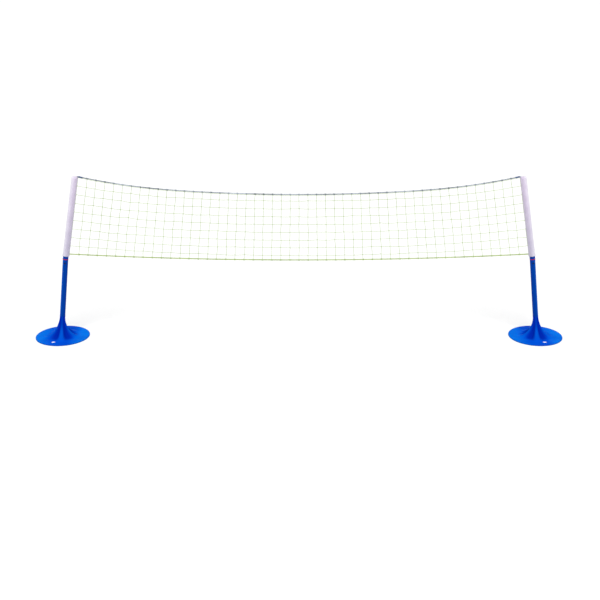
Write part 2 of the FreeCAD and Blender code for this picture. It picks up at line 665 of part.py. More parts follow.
def make_net():
    """The net as one flat face with a hole for every gap, given the thickness of its twine."""
    knots = net_knots()
    half = size("twine_width") / 2
    top = [upright[0] for upright in knots]
    bottom = [upright[-1] for upright in knots]
    up = FreeCAD.Vector(0, 0, 1)
    side = FreeCAD.Vector(1, 0, 0)
    rim = [spot + up * half for spot in top] + [spot - up * half for spot in reversed(bottom)]
    last = len(top) - 1
    for corner, way in ((0, -1), (last, 1), (last + 1, 1), (len(rim) - 1, -1)):
        rim[corner] = rim[corner] + side * (way * half)
    outline = Part.makePolygon(rim + [rim[0]])
    holes = []
    for left, right in zip(knots[:-1], knots[1:]):
        for row in range(len(left) - 1):
            quad = [left[row], left[row + 1], right[row + 1], right[row]]
            loop = grown(quad, half)
            holes.append(Part.makePolygon(loop + [loop[0]]))
    face = Part.Face([outline] + holes)
    net = doc.addObject("Part::Feature", "net_mesh")
    thick = size("twine_thick")
    net.Shape = face.extrude(FreeCAD.Vector(0, thick, 0))
    net.Placement = FreeCAD.Placement(FreeCAD.Vector(0, -thick / 2, 0), FreeCAD.Rotation())
    print("net gaps", len(holes), "net area", round(face.Area), "least row",
          round(min(a.distanceToPoint(b) for u in knots for a, b in zip(u[:-1], u[1:])), 1))
    return net


pieces = []
for side_name, side in SIDES:
    pieces.append(make_base(side_name, side))
    pieces.append(make_lower_tube(side_name, side))
    pieces.append(make_joint_plug(side_name, side))
    pieces.append(make_snap_button(side_name, side))
    pieces.append(make_leaf_spring(side_name, side))
    pieces.append(make_upper_tube(side_name, side))
    pieces.append(make_end_cap(side_name, side))
    pieces.append(make_sleeve(side_name, side))
pieces.append(make_net())
pieces.append(make_cord("top_cord", top_cord_height, size("top_cord_radius"), [size("top_sag_half")]))
pieces.append(make_cord("bottom_cord", bottom_cord_height, size("bottom_cord_radius"), []))
doc.recompute()

for thing in doc.Objects:
    if "Invalid" in thing.State or "Error" in thing.State:
        raise ValueError(f"{thing.Label} failed: {thing.State}")
os.makedirs("parts", exist_ok=True)
for piece in pieces:
    shape = piece.Shape
    if shape.isNull() or not shape.isValid() or len(shape.Solids) != 1:
        raise ValueError(f"{piece.Label} is not one valid solid")
    shape.exportStep(f"parts/{piece.Label}.step")
    box = shape.BoundBox
    print(f"{piece.Label}: {round(box.XMin, 2)} {round(box.YMin, 2)} {round(box.ZMin, 2)} to "
          f"{round(box.XMax, 2)} {round(box.YMax, 2)} {round(box.ZMax, 2)}, {round(shape.Volume)} mm3")
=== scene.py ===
# %% [markdown]
# # A small volleyball net on two poles
#
# The net is knotted twine between a top and a bottom cord. Cloth sleeves at its ends slip over two
# leaning plastic poles, and each pole stands in a round moulded base. The rigid pieces come from the
# imported model. Tubes, plugs, buttons and caps only get a finish here, the springs are welded copies
# with a finish, and the bases are moulded again with all their roundness. The cloth, the cords and the
# net are built in this script, because a solid can't show twist, knots, folds or stitches.

import math
import random

import bmesh
import bpy
import numpy as np
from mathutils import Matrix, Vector


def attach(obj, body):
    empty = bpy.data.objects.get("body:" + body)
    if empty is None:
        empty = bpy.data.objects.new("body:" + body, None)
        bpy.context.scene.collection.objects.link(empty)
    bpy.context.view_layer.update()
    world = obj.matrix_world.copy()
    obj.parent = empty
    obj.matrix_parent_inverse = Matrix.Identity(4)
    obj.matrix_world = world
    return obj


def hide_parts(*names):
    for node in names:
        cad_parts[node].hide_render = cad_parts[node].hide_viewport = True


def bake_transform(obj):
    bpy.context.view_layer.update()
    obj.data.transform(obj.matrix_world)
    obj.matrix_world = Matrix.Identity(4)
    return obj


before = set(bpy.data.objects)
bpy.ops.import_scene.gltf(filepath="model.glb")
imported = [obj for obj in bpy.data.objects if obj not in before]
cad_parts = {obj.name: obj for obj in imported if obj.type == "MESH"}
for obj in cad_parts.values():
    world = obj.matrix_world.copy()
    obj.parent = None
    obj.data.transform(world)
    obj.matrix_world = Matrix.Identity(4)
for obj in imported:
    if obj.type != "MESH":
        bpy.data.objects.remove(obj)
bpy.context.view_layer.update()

# %% [markdown]
# ## Camera
#
# The net is 2 m wide and the camera stands low and about 4.4 m away, looking down by 20 degrees. The
# angle shows in the bases: a disc seen from that height is an oval about two fifths as tall as it is
# wide. The focal length then follows from how wide the pair of bases stands in the picture.

# %% Camera
LOOK_DOWN = 20.04

camera_data = bpy.data.cameras.new("camera")
camera_data.sensor_width = 36.0
camera_data.lens = 61.0
camera = bpy.data.objects.new("camera", camera_data)
camera.location = (0.0045, -4.447, 1.803)
camera.rotation_euler = (math.radians(90 - LOOK_DOWN), 0.0, 0.0)
bpy.context.scene.collection.objects.link(camera)
bpy.context.scene.camera = camera

# %% [markdown]
# ## Floor and light
#
# A white floor under an even sky and one wide, soft sun keeps the colours close to how they are
# written. Sun and sky add up to about 1 on a level surface, so the floor comes out white without
# more light on the object. Upright surfaces get less of the sun, which gives the poles their shade.

# %% Floor and light
SKY_STRENGTH = 0.52
SUN_SHARE = 0.5
SUN_TILT = math.radians(32)
SUN_SPREAD = math.radians(30)
FLOOR_HALF = 60.0
FLOOR_WHITE = (0.97, 0.97, 0.97, 1)
SKY_WHITE = (1, 1, 1, 1)


def link(obj):
    bpy.context.scene.collection.objects.link(obj)
    return obj


def mesh_object(name, verts, faces, edges=()):
    mesh = bpy.data.meshes.new(name)
    mesh.from_pydata([tuple(v) for v in verts], list(edges), list(faces))
    mesh.update()
    return link(bpy.data.objects.new(name, mesh))


class Nodes:
    """A node tree being built: add() makes a node and fills its inputs, wire() fills one input."""

    def __init__(self, tree):
        self.tree = tree
        tree.nodes.clear()

    def add(self, kind, settings=None, **inputs):
        node = self.tree.nodes.new(kind)
        for name, value in (settings or {}).items():
            setattr(node, name, value)
        for name, value in inputs.items():
            self.wire(value, node.inputs[name.replace("_", " ")])
        return node

    def wire(self, value, into):
        """The value is a node, whose first output is meant, or one of its outputs, or a plain value."""
        if isinstance(value, bpy.types.Node):
            value = value.outputs[0]
        if isinstance(value, bpy.types.NodeSocket):
            self.tree.links.new(value, into)
        else:
            into.default_value = value


def maths(nodes, operation, *values):
    node = nodes.add("ShaderNodeMath", {"operation": operation})
    for value, socket in zip(values, node.inputs):
        nodes.wire(value, socket)
    return node


def new_finish(name):
    material = bpy.data.materials.new(name)
    material.use_nodes = True
    return material, Nodes(material.node_tree)


def finish_material(nodes, shader):
    out = nodes.add("ShaderNodeOutputMaterial")
    nodes.wire(shader, out.inputs["Surface"])


def make_floor():
    corners = [(x * FLOOR_HALF, y * FLOOR_HALF, 0) for x, y in ((-1, -1), (1, -1), (1, 1), (-1, 1))]
    floor = mesh_object("floor", corners, [(0, 1, 2, 3)])
    material, nodes = new_finish("floor_white")
    finish_material(nodes, nodes.add("ShaderNodeBsdfDiffuse", Color=FLOOR_WHITE, Roughness=0.5))
    floor.data.materials.append(material)


def make_sky():
    """The sky looks white to the camera and in shiny things, whatever light it gives."""
    world = bpy.data.worlds.new("sky")
    bpy.context.scene.world = world
    world.use_nodes = True
    nodes = Nodes(world.node_tree)
    ray = nodes.add("ShaderNodeLightPath").outputs
    seen = maths(nodes, "MAXIMUM", ray["Is Camera Ray"], ray["Is Glossy Ray"])
    light = nodes.add("ShaderNodeBackground", Color=SKY_WHITE, Strength=SKY_STRENGTH)
    white = nodes.add("ShaderNodeBackground", Color=SKY_WHITE, Strength=1.0)
    mix = nodes.add("ShaderNodeMixShader")
    seen_or_through = maths(nodes, "MAXIMUM", seen, ray["Is Transmission Ray"])
    for value, socket in zip((seen_or_through, light, white), mix.inputs):
        nodes.wire(value, socket)
    out = nodes.add("ShaderNodeOutputWorld")
    nodes.wire(mix, out.inputs["Surface"])


def make_sun():
    """The sun gives a level surface its share of full light, from the camera's side."""
    data = bpy.data.lights.new("soft_sun", "SUN")
    data.energy = SUN_SHARE * math.pi / math.cos(SUN_TILT)
    data.angle = SUN_SPREAD
    sun = link(bpy.data.objects.new("soft_sun", data))
    sun.rotation_euler = (SUN_TILT, 0.0, 0.0)


make_floor()
make_sky()
make_sun()
bpy.context.scene.view_settings.view_transform = "Standard"

# %% [markdown]
# ## Sizes
#
# The script can't read the CAD source, so the few lengths that the soft pieces follow are repeated
# here in metres: where the poles stand and lean, and how the two cords sag.

# %% Sizes shared with the model
HALF_SPAN = 1.1135
NECK_HEIGHT = 0.103
LOWER_LENGTH = 0.280
UPPER_LENGTH = 0.381
COLLAR_HEIGHT = 0.003
LEAN_LOW = math.radians(7.3)
LEAN_HIGH = math.radians(10.5)
TUBE_RADIUS = 0.0125
SLEEVE_LIFT = 0.0135
SLEEVE_OUTER = 0.0149
CAP_HEIGHT = 0.003
SIDES = (("left", -1), ("right", 1))

TOP_CORD_RADIUS = 0.0025
TOP_CORD_SAG = 0.0763
TOP_SAG_RADIUS = 8.0
TOP_SAG_HALF = 0.55
TOP_END_RADIUS = 3.0
BOTTOM_CORD_RADIUS = 0.002
BOTTOM_CORD_SAG = 0.021
BOTTOM_SAG_RADIUS = 19.6
MEETING_TRIES = 12

mouth_x = HALF_SPAN - NECK_HEIGHT * math.tan(LEAN_LOW / 2)
to_joint = LOWER_LENGTH + COLLAR_HEIGHT / 2
joint_x = mouth_x - to_joint * math.sin(LEAN_LOW)
joint_z = NECK_HEIGHT + to_joint * math.cos(LEAN_LOW)
pole_top = joint_z + (COLLAR_HEIGHT / 2 + UPPER_LENGTH + CAP_HEIGHT) * math.cos(LEAN_HIGH)
sleeve_end = joint_z + (COLLAR_HEIGHT / 2 + SLEEVE_LIFT) * math.cos(LEAN_HIGH)
top_cord_low = pole_top - TOP_CORD_SAG
bottom_cord_low = sleeve_end - BOTTOM_CORD_SAG
print("cords at mid span, mm", round(1000 * top_cord_low, 1), round(1000 * bottom_cord_low, 1))


def on_pole(side, along, out, turn):
    """A point on an upper pole: along it from the joint, out from its axis, turned from the net's side."""
    up = Vector((-side * math.sin(LEAN_HIGH), 0, math.cos(LEAN_HIGH)))
    net_side = Vector((-side * math.cos(LEAN_HIGH), 0, -math.sin(LEAN_HIGH)))
    front = Vector((0, -1, 0))
    centre = Vector((side * joint_x, 0, joint_z)) + up * along
    return centre + (net_side * math.cos(turn) + front * math.sin(turn)) * out


def top_cord_height(x):
    x = abs(x)
    along = min(x, TOP_SAG_HALF)
    height = top_cord_low + TOP_SAG_RADIUS - math.sqrt(TOP_SAG_RADIUS ** 2 - along ** 2)
    if x > TOP_SAG_HALF:
        tilt = math.asin(TOP_SAG_HALF / TOP_SAG_RADIUS)
        centre = TOP_SAG_HALF - TOP_END_RADIUS * math.sin(tilt)
        height += TOP_END_RADIUS * math.cos(tilt) - math.sqrt(TOP_END_RADIUS ** 2 - (x - centre) ** 2)
    return height


def bottom_cord_height(x):
    return bottom_cord_low + BOTTOM_SAG_RADIUS - math.sqrt(BOTTOM_SAG_RADIUS ** 2 - x ** 2)


def hung_at(x, height_of):
    return Vector((x, 0, height_of(x)))


def meet_sleeve(height_of, out):
    """How far from mid span a sagging line meets the net's side of a pole, at a radius from its axis."""
    x = HALF_SPAN
    for _ in range(MEETING_TRIES):
        x = joint_x - (height_of(x) - joint_z) * math.tan(LEAN_HIGH) - out / math.cos(LEAN_HIGH)
    return x


# %% [markdown]
# ## Finishes
#
# Moulded plastic is not one flat colour: it has faint flow marks and a fine grain that dulls its
# shine. Each finish below is one Principled shader whose colour, roughness and bump come from noise at
# the scale that the real surface has.

# %% Helpers for finishes
def rgb(red, green, blue):
    """A colour as read from a screen, 0 to 255, made linear."""
    def linear(value):
        value /= 255
        return value / 12.92 if value <= 0.04045 else ((value + 0.055) / 1.055) ** 2.4
    return (linear(red), linear(green), linear(blue), 1.0)


def noise(nodes, coords, scale, detail=3.0, stretch=(1, 1, 1)):
    placed = nodes.add("ShaderNodeMapping", Vector=coords, Scale=stretch)
    return nodes.add("ShaderNodeTexNoise", Vector=placed, Scale=scale, Detail=detail)


def blend_colours(nodes, factor, low, high):
    """Goes from one colour to another, both as read from a screen, over the middle of the factor."""
    ramp = nodes.add("ShaderNodeValToRGB", Fac=factor)
    for stop, place, colour in zip(ramp.color_ramp.elements, (0.3, 0.7), (low, high)):
        stop.position = place
        stop.color = rgb(*colour)
    return ramp


def ranged(nodes, value, span, results=(0, 1), way="SMOOTHSTEP"):
    """Goes from the first result to the last while the value goes over its span."""
    return nodes.add("ShaderNodeMapRange", {"interpolation_type": way}, Value=value, From_Min=span[0],
                     From_Max=span[1], To_Min=results[0], To_Max=results[1])


def mixed(nodes, factor, low, high):
    mix = nodes.add("ShaderNodeMix", {"data_type": "RGBA"})
    for index, value in ((0, factor), (6, low), (7, high)):
        nodes.wire(value, mix.inputs[index])
    return mix.outputs[2]


def object_coords(nodes):
    return nodes.add("ShaderNodeTexCoord").outputs["Object"]


def dress(nodes, colour, grain, rough, relief=None, **settings):
    """Ends a finish: its grain sets how rough it is, from one value to another, and its relief's height."""
    shader = nodes.add("ShaderNodeBsdfPrincipled", Base_Color=colour,
                       Roughness=ranged(nodes, grain, (0, 1), rough, "LINEAR"), **settings)
    if relief:
        strength, distance = relief
        bump = nodes.add("ShaderNodeBump", Height=grain, Strength=strength, Distance=distance)
        nodes.wire(bump, shader.inputs["Normal"])
    finish_material(nodes, shader)


# %% [markdown]
# Plastic that was moulded shows how it flowed, and a tube that was drawn shows lines along it. The
# tubes' side away from the net is painted lighter, a painted highlight for the side that the light
# falls on, and their net's side is painted shade. The net's side is found from the pole's axis, which
# the shader works out from the same lean as the model.

# %% Finishes of the rigid pieces
FLOW_SCALE = 14.0
MOULD_RELIEF = (0.08, 0.0004)
TUBE_RELIEF = (0.08, 0.0003)
PAINTED_LIGHT_SPAN = (-0.001, -0.0105)


def moulded_plastic(name, dark, light, rough, grain, shine):
    material, nodes = new_finish(name)
    coords = object_coords(nodes)
    flow = noise(nodes, coords, FLOW_SCALE, 4.0)
    fine = noise(nodes, coords, grain, 2.0)
    dress(nodes, blend_colours(nodes, flow, dark, light), fine, rough, MOULD_RELIEF, Specular_IOR_Level=shine)
    return material


def netwards_of_pole(nodes, coords):
    """How far a point lies from its pole's axis towards the net. Both poles share it, as mirror images."""
    apart = nodes.add("ShaderNodeSeparateXYZ", Vector=coords)
    axes = [maths(nodes, "MULTIPLY_ADD", apart.outputs["Z"], -math.tan(lean), x + z * math.tan(lean))
            for lean, x, z in ((LEAN_LOW, mouth_x, NECK_HEIGHT), (LEAN_HIGH, joint_x, joint_z))]
    axis = maths(nodes, "MINIMUM", *axes)
    return maths(nodes, "SUBTRACT", axis, maths(nodes, "ABSOLUTE", apart.outputs["X"]))


def tube_plastic():
    material, nodes = new_finish("tube_blue")
    coords = object_coords(nodes)
    # Painted light and shade: the side away from the net gets a lighter copy of the blue, a painted
    # highlight, and the net's side a darker copy, painted shade.
    outer_side = ranged(nodes, netwards_of_pole(nodes, coords), PAINTED_LIGHT_SPAN)
    drawn = noise(nodes, coords, 420.0, 3.0, (1, 1, 0.03))
    body = blend_colours(nodes, drawn, (0, 54, 152), (0, 66, 168))
    painted_light_side = blend_colours(nodes, drawn, (6, 82, 182), (16, 94, 196))
    fine = noise(nodes, coords, 700.0, 2.0, (1, 1, 0.06))
    dress(nodes, mixed(nodes, outer_side, body, painted_light_side), fine, (0.3, 0.42), TUBE_RELIEF,
          Specular_IOR_Level=0.02)
    return material


def rolled_steel():
    material, nodes = new_finish("rolled_steel")
    lines = noise(nodes, object_coords(nodes), 400.0, 2.0, (0.05, 1, 1))
    steel = blend_colours(nodes, lines, (150, 152, 156), (186, 188, 192))
    dress(nodes, steel, lines, (0.25, 0.4), Metallic=1.0)
    return material


tube_blue = tube_plastic()
joint_red = moulded_plastic("joint_red", (176, 22, 40), (192, 36, 50), (0.28, 0.42), 900.0, 0.1)
button_dark = moulded_plastic("button_dark", (10, 18, 44), (20, 30, 60), (0.34, 0.48), 1200.0, 0.2)
cap_dark = moulded_plastic("cap_dark", (24, 34, 60), (36, 46, 76), (0.44, 0.58), 1200.0, 0.2)
spring_steel = rolled_steel()


def give_finish(mesh, material):
    mesh.materials.clear()
    mesh.materials.append(material)


for side_name, _ in SIDES:
    for piece, material in (("lower_tube", tube_blue), ("upper_tube", tube_blue), ("joint_plug", joint_red),
                            ("snap_button", button_dark), ("end_cap", cap_dark)):
        give_finish(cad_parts[f"{piece}_{side_name}"].data, material)
        print(f"{piece}_{side_name}", material.name)

# %% [markdown]
# ## The leaf springs
#
# A leaf spring is a folded strip of steel: its back arm rests in the plug and its front arm moves with
# the button. The piece is a merged copy of the solid.

# %% Springs as merged copies of their solids
MERGE_WITHIN = 0.00001


def weld(mesh, distance):
    """Merges corners within a distance and turns every face outwards."""
    work = bmesh.new()
    work.from_mesh(mesh)
    bmesh.ops.remove_doubles(work, verts=work.verts, dist=distance)
    bmesh.ops.recalc_face_normals(work, faces=work.faces)
    work.to_mesh(mesh)
    work.free()


def make_spring(side_name):
    node = f"leaf_spring_{side_name}"
    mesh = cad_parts[node].data.copy()
    mesh.name = f"folded_spring_{side_name}"
    weld(mesh, MERGE_WITHIN)
    give_finish(mesh, spring_steel)
    spring = link(bpy.data.objects.new(mesh.name, mesh))
    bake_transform(spring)
    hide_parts(node)
    print(spring.name, "faces", len(mesh.polygons))


for side_name, _ in SIDES:
    make_spring(side_name)

# %% [markdown]
# ## The moulded bases
#
# A base is one moulding: a thin disc whose middle rises into five rounded ridges, as roots do, and
# closes to a neck with a spigot. Every section follows one rule, a reach for the ridges and a reach for
# the valleys, on an axis that bends towards the net. So the skin is lofted ring by ring along a profile
# that runs from the rim over the disc, up the skirt, over the spigot and back down inside the wall.

# %% The rule of the skirt
BASE_RADIUS = 0.125
BASE_PLATE = 0.0035
BASE_WALL = 0.0026
LIP_HEIGHT = 0.0025
LIP_RADIUS = TUBE_RADIUS + 0.0005
FLARE_TOP = NECK_HEIGHT - LIP_HEIGHT
RIDGES = 5
RIDGE_TURN = math.radians(4)
RIDGE_SPREAD = 0.045
RIDGE_FOOT = 0.022
VALLEY_SPREAD = 0.022
VALLEY_FOOT = 0.014


def ridge_share(turn):
    """1 on a ridge's crest and 0 in a valley, at a turn from the front towards the net."""
    wave = (1 + math.cos(RIDGES * (turn - RIDGE_TURN))) / 2
    return wave * wave * (3 - 2 * wave)


def skirt_reach(share, turn):
    """How far out the skirt is at a share of the way down it."""
    ridge = RIDGE_SPREAD * share ** 2 + RIDGE_FOOT * share ** 8
    valley = VALLEY_SPREAD * share ** 2 + VALLEY_FOOT * share ** 8
    return TUBE_RADIUS + valley + (ridge - valley) * ridge_share(turn)


def skirt_height(share):
    return FLARE_TOP - share * (FLARE_TOP - BASE_PLATE)


def on_neck(side, height, out, turn):
    """A point of a section through the neck, whose axis bends up to the mouth and is straight above."""
    up = min(height / NECK_HEIGHT, 1)
    lean = LEAN_LOW * up
    above = max(height - NECK_HEIGHT, 0)
    centre = Vector((HALF_SPAN - up ** 2 * NECK_HEIGHT * math.tan(LEAN_LOW / 2), 0, NECK_HEIGHT * up))
    centre += Vector((-math.sin(lean), 0, math.cos(lean))) * above
    spot = centre + (Vector((0, -1, 0)) * math.cos(turn)
                     + Vector((-math.cos(lean), 0, -math.sin(lean))) * math.sin(turn)) * out
    return Vector((spot.x * side, spot.y, spot.z))


def on_disc(side, height, out, turn):
    return Vector((side * (HALF_SPAN - out * math.sin(turn)), -out * math.cos(turn), height))


print("ridges reach, mm", round(1000 * skirt_reach(1, RIDGE_TURN), 1))

# %% [markdown]
# A lathe would give a round form its whole skin from one profile. Here the profile changes as it goes
# round, so one is worked out for every turn, and faces join each to the next. At the front and back a
# narrow strip stands a little proud: the seam where the halves of the mould met.

# %% A base's profile
SPIGOT_RADIUS = 0.0109
HOLLOW_RADIUS = 0.0089
SPIGOT_LENGTH = 0.045
BORE_DEPTH = 0.032
RIM_ROUND = 0.0012
RIM_STEPS = 4
EDGE = 0.0005
FINE_EDGE = 0.0003
LIP_ROUND = 0.0002
DISC_STEPS = 6
FOOT_SHARE = 0.93
FOOT_BLEND = 0.009
FOOT_STEPS = 7
SKIRT_STEPS = 24
HOLLOW_SHARE = 0.32
HOLLOW_STEPS = 12


def bend_between(first, corner, last, steps):
    """The points of a smooth turn from one point to another past a corner."""
    return [first * (1 - t) ** 2 + corner * (2 * t * (1 - t)) + last * t ** 2
            for t in (i / steps for i in range(1, steps + 1))]


def base_profile(side, turn, proud):
    """All the points at one turn, from the rim over the spigot to the underside."""
    middle = BASE_RADIUS - RIM_ROUND
    line = [on_disc(side, 0, BASE_RADIUS - EDGE, turn), on_disc(side, EDGE, BASE_RADIUS, turn)]
    for i in range(RIM_STEPS + 1):
        angle = math.pi / 2 * i / RIM_STEPS
        line.append(on_disc(side, BASE_PLATE - RIM_ROUND * (1 - math.sin(angle)),
                            middle + RIM_ROUND * math.cos(angle), turn))
    foot = skirt_reach(1, turn)
    for i in range(1, DISC_STEPS + 1):
        out = middle + (foot + FOOT_BLEND - middle) * i / DISC_STEPS
        line.append(on_disc(side, BASE_PLATE + proud, out, turn))
    start = on_neck(side, skirt_height(FOOT_SHARE), skirt_reach(FOOT_SHARE, turn) + proud, turn)
    line += bend_between(line[-1], on_disc(side, BASE_PLATE + proud, foot, turn), start, FOOT_STEPS)
    for i in range(1, SKIRT_STEPS + 1):
        share = FOOT_SHARE * (1 - i / SKIRT_STEPS)
        line.append(on_neck(side, skirt_height(share), skirt_reach(share, turn) + proud, turn))
    top = NECK_HEIGHT + SPIGOT_LENGTH
    for height, out in ((FLARE_TOP, LIP_RADIUS - LIP_ROUND), (FLARE_TOP + FINE_EDGE, LIP_RADIUS),
                        (NECK_HEIGHT - FINE_EDGE, LIP_RADIUS), (NECK_HEIGHT, LIP_RADIUS - FINE_EDGE),
                        (NECK_HEIGHT, SPIGOT_RADIUS), (top - EDGE, SPIGOT_RADIUS),
                        (top, SPIGOT_RADIUS - EDGE), (top, HOLLOW_RADIUS), (NECK_HEIGHT, HOLLOW_RADIUS),
                        (NECK_HEIGHT - BORE_DEPTH, HOLLOW_RADIUS)):
        line.append(on_neck(side, height, out, turn))
    for i in range(HOLLOW_STEPS + 1):
        share = HOLLOW_SHARE + (1 - HOLLOW_SHARE) * i / HOLLOW_STEPS
        inside = skirt_reach(share, turn) - BASE_WALL
        line.append(on_neck(side, skirt_height(share) - BASE_WALL, inside, turn))
    line.append(on_disc(side, 0, foot - BASE_WALL, turn))
    return line


# %% [markdown]
# The peg hole goes in last, as a drill would make it. A Boolean takes a round punch out of the disc, so
# that the profiles don't have to know of the hole.

# %% One base, with its peg hole punched
SEAM_PROUD = 0.00035
SEAM_TURN = math.radians(0.35)
AROUND = 160
PEG_HOLE_RADIUS = 0.010
PEG_HOLE_OUT = 0.084
PEG_HOLE_TURN = math.radians(-19)
FLARE_RADIUS = PEG_HOLE_RADIUS + 0.0009
PUNCH_RINGS = ((PEG_HOLE_RADIUS, -0.01), (PEG_HOLE_RADIUS, BASE_PLATE - 0.0007),
               (FLARE_RADIUS, BASE_PLATE + 0.0002), (FLARE_RADIUS, 0.02))
PUNCH_AROUND = 64
SHARP_FROM = math.radians(40)


def joined_rings(rings, count, closed=False):
    """The faces between rings of points, each ring joined to the next one."""
    pairs = [(k, k + 1) for k in range(rings - 1)] + ([(rings - 1, 0)] if closed else [])
    return [(a * count + i, a * count + (i + 1) % count, b * count + (i + 1) % count, b * count + i)
            for a, b in pairs for i in range(count)]


def peg_hole_punch(side):
    """A round punch with a flare where it leaves the disc, so that the hole gets a broken edge."""
    middle = on_disc(side, 0, PEG_HOLE_OUT, PEG_HOLE_TURN)
    turns = [2 * math.pi * i / PUNCH_AROUND for i in range(PUNCH_AROUND)]
    verts = [middle + Vector((out * math.cos(turn), out * math.sin(turn), height))
             for out, height in PUNCH_RINGS for turn in turns]
    faces = joined_rings(len(PUNCH_RINGS), PUNCH_AROUND)
    faces += [tuple(reversed(range(PUNCH_AROUND))), tuple(range(3 * PUNCH_AROUND, 4 * PUNCH_AROUND))]
    return mesh_object("peg_hole_punch", verts, faces)


def kept_mesh(obj, name):
    """The plain mesh that an object's modifiers make. The object itself goes."""
    bpy.context.view_layer.update()
    graph = bpy.context.evaluated_depsgraph_get()
    mesh = bpy.data.meshes.new_from_object(obj.evaluated_get(graph), depsgraph=graph)
    mesh.name = name
    bpy.data.objects.remove(obj)
    print(name, "faces", len(mesh.polygons))
    return mesh


def make_base(side_name, side, finish):
    turns = [(2 * math.pi * i / AROUND, 0.0) for i in range(AROUND) if i not in (0, AROUND // 2)]
    for seam in (0.0, math.pi):
        turns += [(seam - SEAM_TURN, 0.0), (seam, SEAM_PROUD), (seam + SEAM_TURN, 0.0)]
    turns = sorted((turn % (2 * math.pi), proud) for turn, proud in turns)
    lines = [base_profile(side, turn, proud) for turn, proud in turns]
    base = mesh_object("base_uncut", [spot for line in lines for spot in line],
                       joined_rings(len(lines), len(lines[0]), closed=True))
    weld(base.data, MERGE_WITHIN)
    punch = peg_hole_punch(side)
    hole = base.modifiers.new("peg_hole", "BOOLEAN")
    hole.operation = "DIFFERENCE"
    hole.solver = "EXACT"
    hole.object = punch
    mesh = kept_mesh(base, f"moulding_{side_name}")
    bpy.data.objects.remove(punch)
    mesh.shade_smooth()
    mesh.set_sharp_from_angle(angle=SHARP_FROM)
    give_finish(mesh, finish)
    return link(bpy.data.objects.new(mesh.name, mesh))


# %% [markdown]
# ## The base's finish
#
# The finish paints light and shade into the blue. The ridges' crests get a painted highlight, and the
# disc is painted lighter to the sides of the neck than before and behind it. The skirt, the valleys, the
# neck and the rim's edge get painted shade. The finish works out where a point is on the ridges' wave
# and how far out, and mixes a deep and a bright blue by that.

# %% Base finish
BASE_GRAIN = 900.0
SIDE_DISC = (0.030, 0.100)
SKIRT_TO_DISC = (0.044, 0.082)
CREST = (0.2, 1.0)
VALLEY = (0.5, -0.7)
VALLEY_END = (0.042, 0.070)
NECK_PAINTED_SHADE = (0.034, 0.070)
RIM_EDGE = (BASE_RADIUS - 0.0032, BASE_RADIUS - 0.0006)


def base_plastic():
    material, nodes = new_finish("base_blue")
    coords = object_coords(nodes)
    apart = nodes.add("ShaderNodeSeparateXYZ", Vector=coords)
    height = apart.outputs["Z"]
    squared = maths(nodes, "MULTIPLY", height, height)
    bend = maths(nodes, "MULTIPLY", squared, math.tan(LEAN_LOW / 2) / NECK_HEIGHT)
    centre = maths(nodes, "SUBTRACT", HALF_SPAN, bend)
    netwards = maths(nodes, "SUBTRACT", centre, maths(nodes, "ABSOLUTE", apart.outputs["X"]))
    forward = maths(nodes, "MULTIPLY", apart.outputs["Y"], -1.0)
    turn = maths(nodes, "ARCTAN2", netwards, forward)
    from_crest = maths(nodes, "SUBTRACT", turn, RIDGE_TURN)
    wave = maths(nodes, "COSINE", maths(nodes, "MULTIPLY", from_crest, RIDGES))
    out = maths(nodes, "SQRT", maths(nodes, "ADD", maths(nodes, "MULTIPLY", netwards, netwards),
                                     maths(nodes, "MULTIPLY", forward, forward)))
    flow = noise(nodes, coords, FLOW_SCALE, 4.0)
    fine = noise(nodes, coords, BASE_GRAIN, 2.0)
    # Painted light and shade: the disc is painted lighter to the sides of the neck and darker before and
    # behind it.
    front_disc = blend_colours(nodes, flow, (0, 72, 208), (0, 90, 224))
    side_disc = blend_colours(nodes, flow, (0, 102, 220), (0, 124, 240))
    sideways = ranged(nodes, maths(nodes, "ABSOLUTE", netwards), SIDE_DISC)
    disc = mixed(nodes, sideways, front_disc, side_disc)
    # Painted highlight: the ridges' crests are painted a lighter blue than the rest of the skirt.
    on_ridge = ranged(nodes, wave, CREST)
    skirt = mixed(nodes, on_ridge, rgb(0, 60, 188), rgb(0, 86, 206))
    # Painted shade: the skirt is painted darker than the disc around it.
    body = mixed(nodes, ranged(nodes, out, SKIRT_TO_DISC), skirt, disc)
    # Painted shade: the valleys between the ridges and the neck are painted a deep blue.
    in_valley = ranged(nodes, wave, VALLEY)
    valley_end = ranged(nodes, out, VALLEY_END, (1, 0))
    up_neck = ranged(nodes, height, NECK_PAINTED_SHADE, (0, 0.6))
    painted_shade = maths(nodes, "MAXIMUM", maths(nodes, "MULTIPLY", in_valley, valley_end), up_neck)
    body = mixed(nodes, painted_shade, body, rgb(0, 42, 172))
    # Painted shade: the rim's edge is painted a darker, greyer blue.
    at_rim = ranged(nodes, out, RIM_EDGE, (0, 0.7))
    dress(nodes, mixed(nodes, at_rim, body, rgb(0, 84, 160)), fine, (0.38, 0.5), MOULD_RELIEF,
          Specular_IOR_Level=0.004)
    return material


base_blue = base_plastic()
bases = {side_name: make_base(side_name, side, base_blue) for side_name, side in SIDES}

# %% [markdown]
# ## Cloth and twine finishes
#
# Cloth reads its own UV map, laid out in metres, so the weave keeps its size wherever the cloth bends.
# Twine and cord are too thin for a map to matter: fine noise stretched along the object gives the
# fibres, and a slow noise makes some stretches paler, as handled twine is.

# %% Cloth and twine finishes
THREADS = 380.0
CLOTH_OUTER = (0.006, -0.012)
LOWER_DARKER_SPAN = (0.40, 0.70)
CLOTH_RELIEF = (0.35, 0.0002)
TWINE_RELIEF = (0.5, 0.0003)
DULL = (0.75, 0.95)


